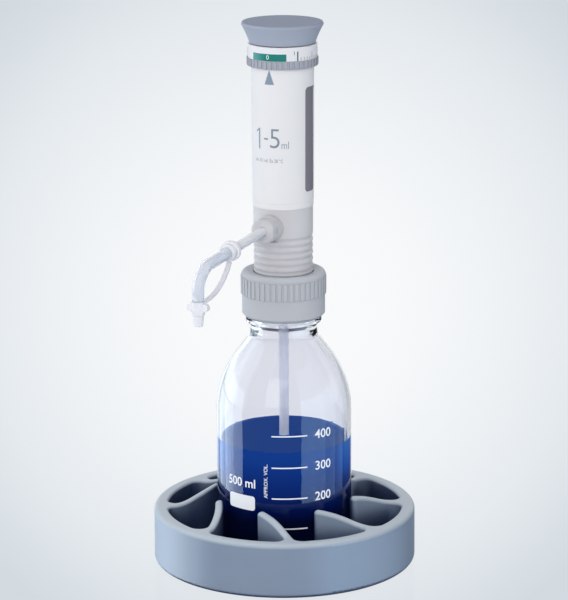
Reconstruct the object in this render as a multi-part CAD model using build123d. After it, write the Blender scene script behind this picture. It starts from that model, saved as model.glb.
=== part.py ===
from build123d import *
import math
import os

# Bottle top dispenser, 1 to 5 ml, screwed onto a 500 ml laboratory bottle that
# stands in a finned ring stand.  Millimetres, +Z up.  The origin is the centre
# of the stand's underside, and -Y is the front, where the spout points.

# ---------------------------------------------------------------- clearances
running_gap = 0.05        # piston in barrel, stem in guide
push_gap = 0.1            # a tube pushed over or into its seat
loose_gap = 0.35          # curved faces of parts that only pass each other
ball_gap = 0.05           # valve ball above its seat edge
cut_overlap = 1.0         # how far a cut runs past the face that it opens

# ---------------------------------------------------------------- ring stand
stand_foot_spread = 0.2       # how much the outer face widens from the rim to the foot
stand_rim_radius = 83.6
stand_height = 35.0
stand_rim_wall = 8.4
stand_floor = 5.0
stand_foot_round = 3.0
stand_rim_round = 2.8
pocket_floor_round = 2.0
pocket_top_round = 1.8
fin_count = 8
fin_thickness = 5.0
fin_inner_height = 44.5
fin_start_angle = 7.0
fin_sweep_angle = 22.0
fin_bow = 3.0
fin_bottle_gap = 1.0
fin_root_depth = 3.0      # how far a fin runs into the rim wall
fin_root_round = 6.0
fin_fall_width = 9.0      # from the rim's bore in to the foot of the fins' falling top
fin_fall_round = 30.0

# ---------------------------------------------------------------- glass bottle
bottle_radius = 43.0
bottle_height = 176.0
bottle_wall = 2.5
bottle_base = 4.5
heel_round = 9.0
punt_depth = 1.5
punt_radius = 34.0
shoulder_drop = 83.0      # start of the shoulder below the rim
shoulder_round = 63.5
shoulder_angle = 37.0
neck_radius = 21.3
neck_blend = 8.0
bead_radius = 24.0
bead_drop = 23.0          # middle of the ring bead below the rim
bead_width = 3.6
finish_radius = 20.6      # root of the screw finish
mouth_radius = 15.0
rim_round = 1.5

# ---------------------------------------------------------------- reagent
liquid_depth = 70.5
liquid_skin = 0.05

# ---------------------------------------------------------------- screw collar
collar_bore_radius = 22.9
collar_rib_radius = 27.0
collar_rib_root = 26.6
collar_skirt_radius = 26.2
collar_skirt_chamfer = 2.0
collar_height = 30.2
collar_dish = 1.6         # fall of its top from the edge to the throat
collar_top_round = 3.0
collar_web = 5.8
collar_rib_count = 46
collar_rib_width = 2.5
collar_rib_length = 11.2
collar_skirt_length = 14.7

# ---------------------------------------------------------------- valve block
seal_thickness = 1.0
seal_outer_radius = 19.8
plug_radius = 14.6
plug_depth = 10.0
waist_radius = 18.0
ridge_radius = 18.65
ridge_depth = 0.9
ridge_pitch = 4.2
ridge_count = 6
ridge_land = 1.7
ridge_flank = 0.9
block_radius = 18.75
block_height = 49.5       # seal face to sleeve seat
block_smooth_height = 19.6
spigot_height = 5.0
spigot_gap = 0.1
retainer_thickness = 1.8
retainer_lip = 0.4
retainer_groove_radius = 16.95
retainer_radius = 21.8
retainer_split = 3.0
barrel_seat_depth = 5.5
chamber_radius = 6.3
chamber_depth = 13.0
port_radius = 3.0

# ---------------------------------------------------------------- suction valve
valve_body_radius = 5.0
valve_body_length = 28.0
valve_head_across = 13.6  # across the flats of its hexagon head
valve_head_height = 6.0
nipple_length = 8.0
suction_bore_radius = 1.5
suction_ball_radius = 2.5
suction_ball_lift = 1.2
suction_seat_radius = 1.8
suction_seat_height = 16.5   # seat edge above the underside of the plug
cage_wall = 2.0
cage_slot_width = 1.2

# ---------------------------------------------------------------- filling tube
upper_tube_radius = 3.1
upper_tube_bore = 2.4
upper_tube_length = 100.0
lower_tube_bore = 1.4
tube_foot_gap = 4.0       # lowest end of the tube above the bottle's inner floor
tube_overlap = 45.0       # how far the lower tube reaches up into the upper one

# ---------------------------------------------------------------- measuring barrel
piston_radius = 6.0
stroke = 44.2             # 5 ml in a 12 mm bore
barrel_wall = 2.95
barrel_length = 72.0
barrel_seal_thickness = 1.0
head_wall = 0.9
head_height = 9.0
head_cup_depth = 5.0
guide_wall = 1.55
guide_height = 70.0
guide_hub_height = 4.5
guide_slot_width = 9.0
guide_slot_height = 50.0
guide_slot_round = 3.0
piston_foot_gap = 2.0     # piston's end above the barrel's seat at rest

# ---------------------------------------------------------------- sleeve
sleeve_foot_radius = 19.2
sleeve_top_radius = 19.55
sleeve_bore_radius = 17.4
sleeve_length = 88.3
sleeve_foot_band = 3.6
sleeve_foot_step = 0.15
window_width = 12.8
window_height = 66.0
window_round = 2.6
window_above_foot = 10.2
window_thickness = 1.3
window_recess = 0.45

# ---------------------------------------------------------------- setting ring
grip_radius = 22.25
grip_height = 5.1
grip_rib_count = 42
grip_rib_depth = 0.35
grip_rib_width = 1.9
grip_foot_round = 1.0
scale_radius = 21.6
scale_height = 8.6
scale_top_thickness = 2.4
scale_wall = 2.2
setting_bore_gap = 0.4
cam_outer_radius = 16.4
cam_wall = 1.8
cam_length = 66.0
cam_slot_angle = 16.0
setting_turn = 298.5      # degrees from 0 to 5 ml
clip_radius = 16.9
clip_thickness = 1.5
clip_split = 4.0
clip_depth = 4.0          # top of the clip below the sleeve's top edge

# ---------------------------------------------------------------- operating knob
knob_gap = 0.5            # open line between the scale ring and the knob
knob_foot_radius = 20.5
knob_brim_radius = 25.6
knob_height = 12.8
knob_brim_drop = 1.4
knob_waist_bulge = 0.35
knob_edge_round = 0.6
knob_cavity_radius = 17.4
knob_cavity_depth = 9.2
knob_rib_count = 6
knob_rib_width = 1.6
knob_rib_drop = 2.0
stem_radius = 12.0
stem_wall = 1.4
stem_length = 72.0
clamp_height = 10.0
clamp_chamfer = 0.8

# ---------------------------------------------------------------- discharge spout
boss_radius = 8.0
boss_reach = 25.0         # end of the block's side boss from the axis
boss_above_seal = 38.0    # spout axis above the seal face
spout_channel_radius = 1.5
spout_bore_radius = 4.0
spout_bore_start = 12.0
spout_seat_length = 5.0
spout_ball_radius = 2.0
spout_ball_lift = 0.8
spout_seat_radius = 1.4
spout_cage_length = 7.0
spout_cage_hole = 1.3
nut_length = 6.0
nut_round = 1.6
nut_flat_depth = 0.6
tube_radius = 3.0
tube_bore = 2.1
liner_bore = 1.2
spout_level_run = 11.0    # straight length from the tube's seat before it dips
spout_reach = 119.6
spout_drop = 5.0
spout_entry_bend = 40.0
spout_tip_bend = 16.0
spout_tip_drop = 26.0     # tube end below the corner of its route
sheath_radius = 3.7       # clear sheath over the outer half of the tube

# ---------------------------------------------------------------- tip cap and tether
ring_reach = 77.0         # tether ring from the axis
ring_radius = 6.2
ring_flange = 2.4
ring_waist_radius = 4.6
ring_waist_length = 2.0
ring_back_radius = 5.4
cap_radius = 3.9
cap_nose_radius = 3.4
cap_tip_radius = 2.7
cap_grip = 7.5            # length of tube inside the cap
cap_nose_length = 7.3
cap_nose_floor = 3.0
cap_nose_bore = 1.3
cap_shoulder = 1.0
wing_span = 13.8
wing_height = 5.0
wing_thickness = 3.4
wing_above_shoulder = 4.2
strap_width = 3.0
strap_thickness = 1.3
strap_bow_reach = 89.5
strap_bow_drop = 17.6     # middle of the bow below the ring's centre
strap_end_rise = 6.0      # strap's end above the tube's open tip

# ---------------------------------------------------------------- heights worked out
bottle_foot_z = stand_floor
rim_z = bottle_foot_z + bottle_height
seal_z = rim_z + seal_thickness
block_top_z = seal_z + block_height
spout_z = seal_z + boss_above_seal
plug_z = seal_z - plug_depth
barrel_seat_z = block_top_z - barrel_seat_depth
barrel_foot_z = barrel_seat_z + barrel_seal_thickness
barrel_radius = piston_radius + running_gap + barrel_wall
barrel_top_z = barrel_foot_z + barrel_length
retainer_z = seal_z + retainer_lip
retainer_top_z = retainer_z + retainer_thickness
collar_web_z = retainer_top_z + loose_gap
collar_top_z = collar_web_z + collar_web
collar_foot_z = collar_top_z - collar_height
sleeve_top_z = block_top_z + sleeve_length
scale_foot_z = sleeve_top_z + grip_height
scale_top_z = scale_foot_z + scale_height
knob_foot_z = scale_top_z + knob_gap
knob_top_z = knob_foot_z + knob_height
knob_roof_z = knob_foot_z + knob_cavity_depth
valve_foot_z = plug_z - valve_head_height
suction_seat_z = plug_z + suction_seat_height
stem_bore_radius = stem_radius - stem_wall


# ---------------------------------------------------------------- shared operations
def turned(*corners):
    """Solid of revolution from (radius, height[, rounding]) corners of a half section."""
    section = make_face(Polyline(*[corner[:2] for corner in corners], close=True))
    for corner in corners:
        if len(corner) == 3:
            vertex = section.vertices().sort_by_distance((corner[0], corner[1], 0))[0]
            section = fillet(vertex, corner[2])
    return revolve(Plane.XZ * section, Axis.Z)


def ring(inner_radius, outer_radius, bottom, top):
    """Plain tube between two heights."""
    return turned((inner_radius, bottom), (outer_radius, bottom), (outer_radius, top), (inner_radius, top))


def cylinder(radius, bottom, top):
    """Solid round bar along Z between two heights."""
    return Pos(0, 0, bottom) * extrude(Circle(radius), top - bottom)


def outward(radius, start, end, height):
    """Solid round bar along -Y from one reach to another."""
    seat = Plane(origin=(0, -start, height), x_dir=(1, 0, 0), z_dir=(0, -1, 0))
    return extrude(seat * Circle(radius), end - start)


def heading(angle, radius):
    """Point in plan at an angle from the front (-Y) towards +X."""
    turn = math.radians(angle)
    return (radius * math.sin(turn), -radius * math.cos(turn))


def seat_distance(ball_radius, seat_radius):
    """Height of a ball's centre above the round edge that it rests on."""
    return math.sqrt(ball_radius ** 2 - seat_radius ** 2)


def save(name, solid):
    """Write one piece under its name."""
    export_step(solid, f"parts/{name}.step")


# ---------------------------------------------------------------- stand
def fin_plan(rim_bore):
    """Plan of one swirled fin: a bowed wall with a round nose near the bottle."""
    inner = bottle_radius + fin_bottle_gap + fin_thickness / 2
    start = Vector(*heading(fin_start_angle, inner))
    end = Vector(*heading(fin_start_angle + fin_sweep_angle, rim_bore + fin_root_depth))
    across = (end - start).rotate(Axis.Z, 90).normalized()
    line = ThreePointArc(start, (start + end) * 0.5 + across * fin_bow, end)
    return trace(line, fin_thickness) + Pos(start.X, start.Y) * Circle(fin_thickness / 2)


def make_stand():
    """Ring stand moulded in one: the pockets cut from its body leave a swirl of fins."""
    rim_bore = stand_rim_radius - stand_rim_wall
    stand = turned(
        (0, 0),
        (stand_rim_radius + stand_foot_spread, 0, stand_foot_round),
        (stand_rim_radius, stand_height, stand_rim_round),
        (rim_bore - fin_fall_width, stand_height, fin_fall_round),
        (bottle_radius + fin_bottle_gap, fin_inner_height),
        (0, fin_inner_height),
    )
    pockets = Circle(rim_bore)
    fin = fin_plan(rim_bore)
    for index in range(fin_count):
        pockets -= fin.rotate(Axis.Z, index * 360 / fin_count)
    roots = pockets.vertices().filter_by(lambda corner: math.hypot(corner.X, corner.Y) > rim_bore - running_gap)
    pockets = fillet(roots, fin_root_round)
    stand -= Pos(0, 0, stand_floor) * extrude(pockets, fin_inner_height)
    crest = stand.edges().filter_by(
        lambda edge: edge.center().Z > stand_height - pocket_top_round / 2
        and math.hypot(edge.center().X, edge.center().Y) < rim_bore + running_gap
    )
    stand = fillet(crest, pocket_top_round)
    floor = stand.edges().filter_by(lambda edge: abs(edge.center().Z - stand_floor) < running_gap)
    return fillet(floor, pocket_floor_round)


# ---------------------------------------------------------------- bottle
def vessel(inset, foot_z, neck, top_z):
    """Solid of the bottle's own form, drawn in from the outside by the inset."""
    shoulder_z = rim_z - shoulder_drop
    side = bottle_radius - inset
    sweep = shoulder_round - inset
    centre = (bottle_radius - shoulder_round, shoulder_z)
    arc = CenterArc(centre, sweep, 0, shoulder_angle)
    slope = math.tan(math.radians(shoulder_angle))
    arc_end = arc @ 1
    neck_z = arc_end.Y + (arc_end.X - neck) / slope
    outline = Polyline((0, foot_z), (side, foot_z), (side, shoulder_z))
    upper = Polyline(arc_end, (neck, neck_z), (neck, top_z), (0, top_z), (0, foot_z))
    section = make_face(Curve() + [outline, arc, upper])
    heel = section.vertices().sort_by_distance((side, foot_z, 0))[0]
    section = fillet(heel, heel_round - inset)
    throat = section.vertices().sort_by_distance((neck, neck_z, 0))[0]
    section = fillet(throat, neck_blend)
    return revolve(Plane.XZ * section, Axis.Z)


def make_bottle():
    """Blown glass bottle: pushed-up base, round shoulder, ring bead and screw finish."""
    bead_z = rim_z - bead_drop
    finish_z = bead_z + bead_width / 2
    bottle = vessel(0, bottle_foot_z, neck_radius, bead_z)
    bottle += turned(
        (0, bead_z - bead_width),
        (neck_radius, bead_z - bead_width),
        (bead_radius, bead_z - bead_width / 4, bead_width / 5),
        (bead_radius, bead_z + bead_width / 4, bead_width / 5),
        (finish_radius, finish_z),
        (0, finish_z),
    )
    bottle += turned(
        (0, bead_z),
        (finish_radius, bead_z),
        (finish_radius, rim_z, rim_round),
        (0, rim_z),
    )
    bottle -= vessel(bottle_wall, bottle_foot_z + bottle_base, mouth_radius, rim_z)
    bottle -= turned((0, bottle_foot_z), (punt_radius, bottle_foot_z), (0, bottle_foot_z + punt_depth))
    return bottle


def make_liquid():
    """Reagent that fills the lower part of the bottle, open round the filling tube."""
    floor_z = bottle_foot_z + bottle_base + liquid_skin
    side = bottle_radius - bottle_wall - liquid_skin
    return turned(
        (upper_tube_radius + loose_gap, floor_z),
        (side, floor_z, heel_round - bottle_wall),
        (side, floor_z + liquid_depth),
        (upper_tube_radius + loose_gap, floor_z + liquid_depth),
    )


# ---------------------------------------------------------------- collar and its fit
def make_collar():
    """Screw collar: dished top with a round edge, a band of grip ribs and a plain skirt."""
    rib_foot_z = collar_foot_z + collar_skirt_length
    throat = ridge_radius + loose_gap
    collar = turned(
        (collar_bore_radius, collar_foot_z),
        (collar_skirt_radius - collar_skirt_chamfer, collar_foot_z),
        (collar_skirt_radius, collar_foot_z + collar_skirt_chamfer),
        (collar_skirt_radius, rib_foot_z),
        (collar_rib_root, rib_foot_z),
        (collar_rib_root, collar_top_z, collar_top_round),
        (throat, collar_top_z - collar_dish),
        (throat, collar_web_z),
        (collar_bore_radius, collar_web_z),
    )
    rib_plan = Pos(collar_rib_root, 0) * Rectangle(2 * (collar_rib_radius - collar_rib_root), collar_rib_width)
    rib_plans = Sketch() + PolarLocations(0, collar_rib_count) * rib_plan
    return collar + Pos(0, 0, rib_foot_z) * extrude(rib_plans, collar_rib_length)


def make_bottle_seal():
    """Flat seal washer between the bottle's rim and the valve block."""
    return ring(plug_radius + push_gap, seal_outer_radius, rim_z, seal_z)


def make_retainer():
    """Split ring sprung into the block's groove, which keeps the collar on."""
    washer = ring(retainer_groove_radius + push_gap, retainer_radius, retainer_z, retainer_top_z)
    gap = Pos(0, retainer_radius, retainer_z) * Box(retainer_split, 2 * retainer_split + retainer_radius,
                                                     4 * retainer_thickness)
    return washer - gap


# ---------------------------------------------------------------- valve block
def make_valve_block():
    """Clear moulded block: plug, ridged neck, barrel seat, chamber and side boss."""
    ridge_top_z = block_top_z - block_smooth_height
    corners = [
        (valve_body_radius + push_gap, plug_z),
        (plug_radius, plug_z),
        (plug_radius, seal_z),
        (waist_radius, seal_z),
        (waist_radius, retainer_z),
        (retainer_groove_radius, retainer_z),
        (retainer_groove_radius, retainer_top_z),
        (waist_radius, retainer_top_z),
    ]
    for index in range(ridge_count - 1, -1, -1):
        groove_z = ridge_top_z - index * ridge_pitch
        half = (ridge_pitch - ridge_land) / 2
        corners += [
            (ridge_radius, groove_z - half),
            (ridge_radius - ridge_depth, groove_z - half + ridge_flank),
            (ridge_radius - ridge_depth, groove_z + half - ridge_flank),
            (ridge_radius, groove_z + half),
        ]
    barrel_fit = barrel_radius + running_gap
    corners += [
        (block_radius, ridge_top_z + ridge_pitch / 2),
        (block_radius, block_top_z),
        (sleeve_bore_radius - spigot_gap, block_top_z),
        (sleeve_bore_radius - spigot_gap, block_top_z + spigot_height),
        (stem_radius + guide_wall + 2 * loose_gap, block_top_z + spigot_height),
        (stem_radius + guide_wall + 2 * loose_gap, block_top_z),
        (barrel_fit, block_top_z),
        (barrel_fit, barrel_seat_z),
        (chamber_radius, barrel_seat_z),
        (chamber_radius, barrel_seat_z - chamber_depth),
        (port_radius, barrel_seat_z - chamber_depth),
        (port_radius, plug_z + valve_body_length + cage_wall * 3),
        (valve_body_radius + push_gap, plug_z + valve_body_length + cage_wall * 3),
    ]
    block = turned(*corners)
    block += outward(boss_radius, block_radius - 2 * cage_wall, boss_reach, spout_z)
    block -= outward(spout_channel_radius, chamber_radius / 2, spout_bore_start + cut_overlap, spout_z)
    block -= outward(spout_bore_radius, spout_bore_start, boss_reach, spout_z)
    return block


# ---------------------------------------------------------------- suction valve
def make_suction_valve_body():
    """Valve body screwed up into the plug, with a hexagon head and a tube nipple."""
    hexagon = RegularPolygon(valve_head_across / 2, 6, major_radius=False)
    body = Pos(0, 0, valve_foot_z) * extrude(hexagon, valve_head_height)
    body += cylinder(valve_body_radius, plug_z, plug_z + valve_body_length)
    body += cylinder(upper_tube_bore - push_gap, valve_foot_z - nipple_length, valve_foot_z)
    body -= cylinder(suction_bore_radius, valve_foot_z - nipple_length, suction_seat_z)
    body -= cylinder(suction_seat_radius, suction_seat_z - cut_overlap, suction_seat_z)
    cage_bore = suction_ball_radius + loose_gap
    return body - cylinder(cage_bore, suction_seat_z, plug_z + valve_body_length)


def make_suction_cage():
    """Slotted stop that closes the top of the valve body over the ball."""
    ball_z = suction_seat_z + seat_distance(suction_ball_radius, suction_seat_radius) + ball_gap
    stop_z = ball_z + suction_ball_radius + suction_ball_lift + push_gap
    top_z = plug_z + valve_body_length
    cage = cylinder(suction_ball_radius + loose_gap - push_gap, stop_z, top_z)
    cage += cylinder(valve_body_radius, top_z, top_z + cage_wall)
    cage -= cylinder(suction_bore_radius, stop_z + cage_wall, top_z + cage_wall)
    slot = Pos(0, 0, stop_z + cage_wall / 2) * Box(2 * suction_bore_radius, cage_slot_width, cage_wall + cut_overlap)
    return cage - slot - slot.rotate(Axis.Z, 90)


def make_suction_ball():
    """Ceramic ball that rests on the edge of its seat."""
    ball_z = suction_seat_z + seat_distance(suction_ball_radius, suction_seat_radius) + ball_gap
    return Pos(0, 0, ball_z) * Sphere(suction_ball_radius)


def make_filling_tubes():
    """Telescopic filling tube: the upper length on the nipple, the lower one inside it."""
    top_z = valve_foot_z
    upper_foot_z = top_z - upper_tube_length
    lower_foot_z = bottle_foot_z + bottle_base + tube_foot_gap
    upper = ring(upper_tube_bore, upper_tube_radius, upper_foot_z, top_z)
    lower = ring(lower_tube_bore, upper_tube_bore - push_gap, lower_foot_z, upper_foot_z + tube_overlap)
    return upper, lower


# ---------------------------------------------------------------- measuring barrel
def make_barrel():
    """Precision glass barrel that the piston runs in."""
    return ring(piston_radius + running_gap, barrel_radius, barrel_foot_z, barrel_top_z)


def make_barrel_seal():
    """Flat seal under the barrel's lower end."""
    return ring(chamber_radius, barrel_radius, barrel_seat_z, barrel_foot_z)


def make_barrel_head():
    """Bush that caps the barrel and guides the piston at its upper end."""
    return turned(
        (barrel_radius + running_gap, barrel_top_z - head_cup_depth),
        (barrel_radius + head_wall, barrel_top_z - head_cup_depth),
        (barrel_radius + head_wall, barrel_top_z + head_height - head_cup_depth),
        (piston_radius + running_gap, barrel_top_z + head_height - head_cup_depth),
        (piston_radius + running_gap, barrel_top_z),
        (barrel_radius + running_gap, barrel_top_z),
    )


def make_barrel_guide():
    """Tube frame round the barrel, standing on the block, slotted to show the barrel."""
    inner = stem_radius + loose_gap
    outer = inner + guide_wall
    guide = turned(
        (barrel_radius + push_gap, block_top_z),
        (outer, block_top_z),
        (outer, block_top_z + guide_height),
        (inner, block_top_z + guide_height),
        (inner, block_top_z + guide_hub_height),
        (barrel_radius + push_gap, block_top_z + guide_hub_height),
    )
    slot_z = block_top_z + guide_hub_height + guide_slot_height / 2 + guide_slot_round
    opening = RectangleRounded(guide_slot_width, guide_slot_height, guide_slot_round)
    return guide - extrude(Plane.YZ * Pos(0, slot_z) * opening, 2 * outer, both=True)


def make_piston():
    """Ground ceramic piston, from the bottom of its stroke to its seat in the knob."""
    foot_z = barrel_foot_z + piston_foot_gap
    return turned(
        (0, foot_z),
        (piston_radius, foot_z, push_gap * 4),
        (piston_radius, knob_roof_z),
        (0, knob_roof_z),
    )


# ---------------------------------------------------------------- sleeve and windows
def window_cutter(gap):
    """Bar through both sides of the sleeve with the outline of its windows."""
    middle_z = block_top_z + window_above_foot + window_height / 2
    outline = RectangleRounded(window_width - 2 * gap, window_height - 2 * gap, window_round - gap)
    return extrude(Plane.YZ * Pos(0, middle_z) * outline, 2 * sleeve_top_radius, both=True)


def make_sleeve():
    """Outer sleeve, slightly wider at the top, with a foot band and two tall windows."""
    band_radius = sleeve_foot_radius - sleeve_foot_step
    sleeve = turned(
        (sleeve_bore_radius, block_top_z),
        (band_radius, block_top_z),
        (band_radius, block_top_z + sleeve_foot_band),
        (sleeve_foot_radius, block_top_z + sleeve_foot_band + sleeve_foot_step),
        (sleeve_top_radius, sleeve_top_z),
        (sleeve_bore_radius, sleeve_top_z),
    )
    return sleeve - window_cutter(0)


def make_windows():
    """Two smoked panes, one each side, set a little below the sleeve's surface."""
    face = sleeve_foot_radius - window_recess
    shell = ring(face - window_thickness, face, block_top_z, sleeve_top_z)
    panes = (shell & window_cutter(running_gap)).solids().sort_by(Axis.X)
    return panes[-1], panes[0]


# ---------------------------------------------------------------- setting ring
def make_grip_ring():
    """Ribbed grip ring that turns on the sleeve's top edge."""
    base_radius = grip_radius - grip_rib_depth
    rib = Pos(base_radius, 0) * Rectangle(2 * grip_rib_depth, grip_rib_width)
    plan = Circle(base_radius) + PolarLocations(0, grip_rib_count) * rib
    plan -= Circle(cam_outer_radius - cam_wall)
    envelope = turned(
        (0, sleeve_top_z),
        (grip_radius, sleeve_top_z, grip_foot_round),
        (grip_radius, scale_foot_z),
        (0, scale_foot_z),
    )
    return envelope & Pos(0, 0, sleeve_top_z) * extrude(plan, grip_height)


def make_scale_ring():
    """White scale ring over the grip ring, closed at the top round the knob's stem."""
    throat = stem_radius + setting_bore_gap
    return turned(
        (scale_radius - scale_wall, scale_foot_z),
        (scale_radius, scale_foot_z),
        (scale_radius, scale_top_z, setting_bore_gap),
        (throat, scale_top_z),
        (throat, scale_top_z - scale_top_thickness),
        (scale_radius - scale_wall, scale_top_z - scale_top_thickness),
    )


def make_stop_cam():
    """Cam sleeve under the grip ring, with the helical slot that sets the stroke."""
    foot_z = sleeve_top_z - cam_length
    inner = cam_outer_radius - cam_wall
    cam = ring(inner, cam_outer_radius, foot_z, sleeve_top_z)
    slot_foot_z = foot_z + (cam_length - stroke) / 3
    wedge = Polyline((0, 0), heading(0, 2 * inner), heading(cam_slot_angle, 2 * inner), close=True)
    slot = Solid.extrude_linear_with_rotation(
        make_face(Pos(0, 0, slot_foot_z) * wedge).face(),
        center=(0, 0, slot_foot_z),
        normal=(0, 0, stroke),
        angle=setting_turn,
    )
    return cam - slot


def make_cam_clip():
    """Split spring clip on the cam that keeps the setting ring down on the sleeve."""
    top_z = sleeve_top_z - clip_depth
    clip = ring(cam_outer_radius + running_gap, clip_radius, top_z - clip_thickness, top_z)
    return clip - Pos(0, clip_radius, top_z) * Box(clip_split, clip_radius, 4 * clip_thickness)


# ---------------------------------------------------------------- operating knob
def make_knob():
    """Flared knob with a flat top, hollow below, with ribs round the stem's seat."""
    brim_z = knob_top_z - knob_brim_drop
    middle = ((knob_foot_radius + knob_brim_radius) / 2 - knob_waist_bulge, (knob_foot_z + brim_z) / 2)
    flare = ThreePointArc((knob_foot_radius, knob_foot_z), middle, (knob_brim_radius, brim_z))
    upper = Polyline(
        (knob_brim_radius, brim_z),
        (knob_brim_radius - knob_brim_drop / 2, knob_top_z),
        (0, knob_top_z),
        (0, knob_roof_z),
        (knob_cavity_radius, knob_roof_z),
        (knob_cavity_radius, knob_foot_z),
        (knob_foot_radius, knob_foot_z),
    )
    section = make_face(Curve() + [flare, upper])
    for corner in ((knob_brim_radius, brim_z), (knob_brim_radius - knob_brim_drop / 2, knob_top_z)):
        vertex = section.vertices().sort_by_distance((*corner, 0))[0]
        section = fillet(vertex, knob_edge_round)
    knob = revolve(Plane.XZ * section, Axis.Z)
    inner = stem_radius + running_gap
    length = knob_cavity_radius - inner + knob_rib_drop
    height = knob_cavity_depth - knob_rib_drop
    rib = Pos(inner + length / 2, 0, knob_roof_z - height / 2) * Box(length, knob_rib_width, height)
    for index in range(knob_rib_count):
        knob += rib.rotate(Axis.Z, index * 360 / knob_rib_count)
    return knob


def make_stem():
    """Stem tube of the knob, which slides between the barrel and its guide."""
    return ring(stem_bore_radius, stem_radius, knob_roof_z - stem_length, knob_roof_z)


def make_piston_clamp():
    """Collet that grips the piston's head inside the stem."""
    foot_z = knob_roof_z - clamp_height
    outer = stem_bore_radius - running_gap
    return turned(
        (piston_radius + running_gap, foot_z),
        (outer - clamp_chamfer, foot_z),
        (outer, foot_z + clamp_chamfer),
        (outer, knob_roof_z),
        (piston_radius + running_gap, knob_roof_z),
    )


# ---------------------------------------------------------------- discharge spout
def make_discharge_seat():
    """Seat of the discharge valve, pushed to the bottom of the boss's bore."""
    end = spout_bore_start + spout_seat_length
    seat = outward(spout_bore_radius - running_gap, spout_bore_start, end, spout_z)
    return seat - outward(spout_seat_radius, spout_bore_start, end, spout_z)


def make_discharge_cage():
    """Cage that keeps the discharge ball in line and stops it after its short lift."""
    start = spout_bore_start + spout_seat_length
    end = start + spout_cage_length
    ball_reach = start + seat_distance(spout_ball_radius, spout_seat_radius) + ball_gap
    stop = ball_reach + spout_ball_radius + spout_ball_lift + push_gap
    cage = outward(spout_bore_radius - running_gap, start, end, spout_z)
    cage -= outward(spout_ball_radius + loose_gap, start, stop, spout_z)
    return cage - outward(spout_cage_hole, stop, end, spout_z)


def make_discharge_ball():
    """Ceramic ball of the discharge valve."""
    start = spout_bore_start + spout_seat_length
    ball_reach = start + seat_distance(spout_ball_radius, spout_seat_radius) + ball_gap
    return Pos(0, -ball_reach, spout_z) * Sphere(spout_ball_radius)


def spout_route():
    """Centre line of the discharge tube, from its seat in the boss to its open tip."""
    start = spout_bore_start + spout_seat_length + spout_cage_length
    corner_z = spout_z - spout_drop
    return FilletPolyline(
        (0, -start, spout_z),
        (0, -start - spout_level_run, spout_z),
        (0, -spout_reach, corner_z),
        (0, -spout_reach, corner_z - spout_tip_drop),
        radius=[spout_entry_bend, spout_tip_bend],
    )


def make_spout_tubes():
    """Stiff outer discharge tube and the thin liner that carries the liquid."""
    route = spout_route()
    start = Plane(origin=route @ 0, z_dir=route % 0)
    core = sweep(start * Circle(tube_bore), path=route)
    outer = sweep(start * Circle(tube_radius), path=route) - core
    thin = sweep(start * Circle(tube_bore - running_gap), path=route)
    liner = thin - sweep(start * Circle(liner_bore), path=route)
    return outer, liner


def make_sheath():
    """Clear sheath over the bent half of the discharge tube, from the ring to the cap."""
    route = spout_route()
    start = Plane(origin=route @ 0, z_dir=route % 0)
    sheath = sweep(start * Circle(sheath_radius), path=route)
    sheath -= sweep(start * Circle(tube_radius + push_gap), path=route)
    back = spout_slope_plane(ring_reach).offset(ring_waist_length / 2 + ring_flange + loose_gap)
    top_z = spout_z - spout_drop - spout_tip_drop + cap_grip + loose_gap
    half = spout_reach - ring_reach
    behind = extrude(back * Rectangle(2 * half, 2 * half), -spout_reach)
    below = Pos(0, -spout_reach, top_z - half) * Box(2 * half, 2 * half, 2 * half)
    return sheath - behind - below


def make_spout_nut():
    """Union nut that holds the discharge tube against the boss, with four finger flats."""
    end = boss_reach + nut_length
    nut = outward(boss_radius, boss_reach, end, spout_z)
    rim = nut.edges().filter_by(GeomType.CIRCLE).sort_by(Axis.Y)[0]
    nut = fillet(rim, nut_round)
    nut -= outward(tube_radius + running_gap, boss_reach, end, spout_z)
    reach = boss_radius - nut_flat_depth
    keep = Pos(0, -(boss_reach + end) / 2, spout_z) * Box(2 * reach, 2 * nut_length, 2 * reach)
    return nut & keep


def spout_slope_plane(reach):
    """Plane square to the sloping run of the tube at a distance from the axis."""
    start = spout_bore_start + spout_seat_length + spout_cage_length + spout_level_run
    fall = spout_drop / (spout_reach - start)
    height = spout_z - (reach - start) * fall
    return Plane(origin=(0, -reach, height), x_dir=(1, 0, 0), z_dir=(0, -1, -fall))


def make_tether_ring():
    """Spool-shaped ring pushed onto the discharge tube, which holds the cap's strap."""
    plane = spout_slope_plane(ring_reach)
    half_waist = ring_waist_length / 2
    spool = extrude(plane * Circle(ring_waist_radius), half_waist, both=True)
    front = plane.offset(-half_waist - ring_flange)
    back = plane.offset(half_waist)
    spool += extrude(front * Circle(ring_radius), ring_flange)
    spool += extrude(back * Circle(ring_back_radius), ring_flange)
    length = ring_waist_length + 2 * ring_flange
    return spool - extrude(plane * Circle(tube_radius + running_gap), length, both=True)


def make_tip_cap():
    """Closing cap on the tube's tip: round sleeve, two finger wings and a tapered nose."""
    tip_z = spout_z - spout_drop - spout_tip_drop
    shoulder_z = tip_z - push_gap * 3
    top_z = tip_z + cap_grip
    nose_z = shoulder_z - cap_nose_length
    bore = tube_radius + running_gap * 2
    cap = turned(
        (0, nose_z),
        (cap_tip_radius, nose_z),
        (cap_nose_radius, shoulder_z - cap_shoulder),
        (cap_radius, shoulder_z),
        (cap_radius, top_z),
        (bore, top_z),
        (bore, shoulder_z),
        (cap_nose_bore, shoulder_z),
        (cap_nose_bore, nose_z + cap_nose_floor),
        (0, nose_z + cap_nose_floor),
    )
    wing_z = shoulder_z + wing_above_shoulder
    wings = extrude(Plane.XZ * Pos(0, wing_z) * SlotOverall(wing_span, wing_height), wing_thickness / 2, both=True)
    wings -= cylinder((cap_radius + bore) / 2, wing_z - wing_height, wing_z + wing_height)
    return Pos(0, -spout_reach, 0) * (cap + wings)


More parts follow.
